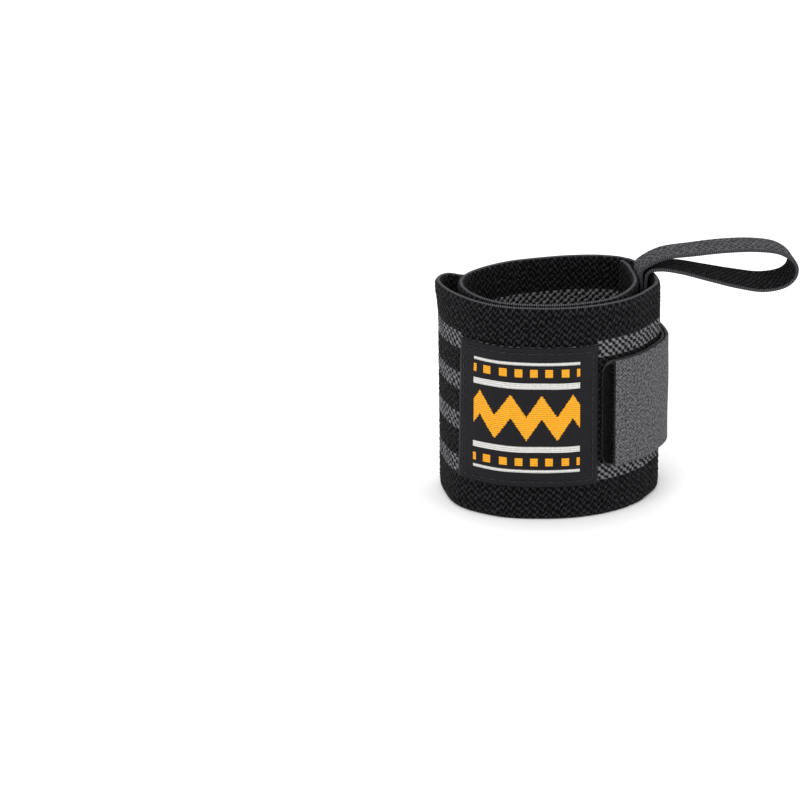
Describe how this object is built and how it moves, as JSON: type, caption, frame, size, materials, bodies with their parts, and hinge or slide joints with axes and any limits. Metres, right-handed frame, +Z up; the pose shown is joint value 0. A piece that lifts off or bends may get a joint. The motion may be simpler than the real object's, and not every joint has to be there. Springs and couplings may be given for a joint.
{
  "type": "wrist wrap",
  "caption": "Elastic wrist support band rolled up and standing on its edge, with a woven label, a hook-and-loop closing tab and a thumb loop.",
  "frame": {"origin": "on the surface that the roll stands on, below the middle of its bounding box", "axes": "+Z up along the roll's axis, +X towards the thumb loop, -Y the side with the woven label"},
  "size_m": [0.126, 0.0648, 0.0853],
  "materials": {
    "elastic_knit": "black knitted polyester elastic with four grey lengthwise stripes",
    "label_satin": "black damask-woven label with an amber and white geometric pattern and a folded, stitched hem",
    "loop_pile": "brushed black nylon loop pile",
    "hook_tape": "grey woven back of a hook tape, black hooks inside",
    "loop_tape": "dark grey knitted elastic tape"
  },
  "bodies": {
    "root": {"elastic_band": "elastic_knit", "woven_label": "label_satin", "loop_panel": "loop_pile", "hook_tab": "hook_tape", "thumb_loop": "loop_tape"}
  },
  "joints": []
}
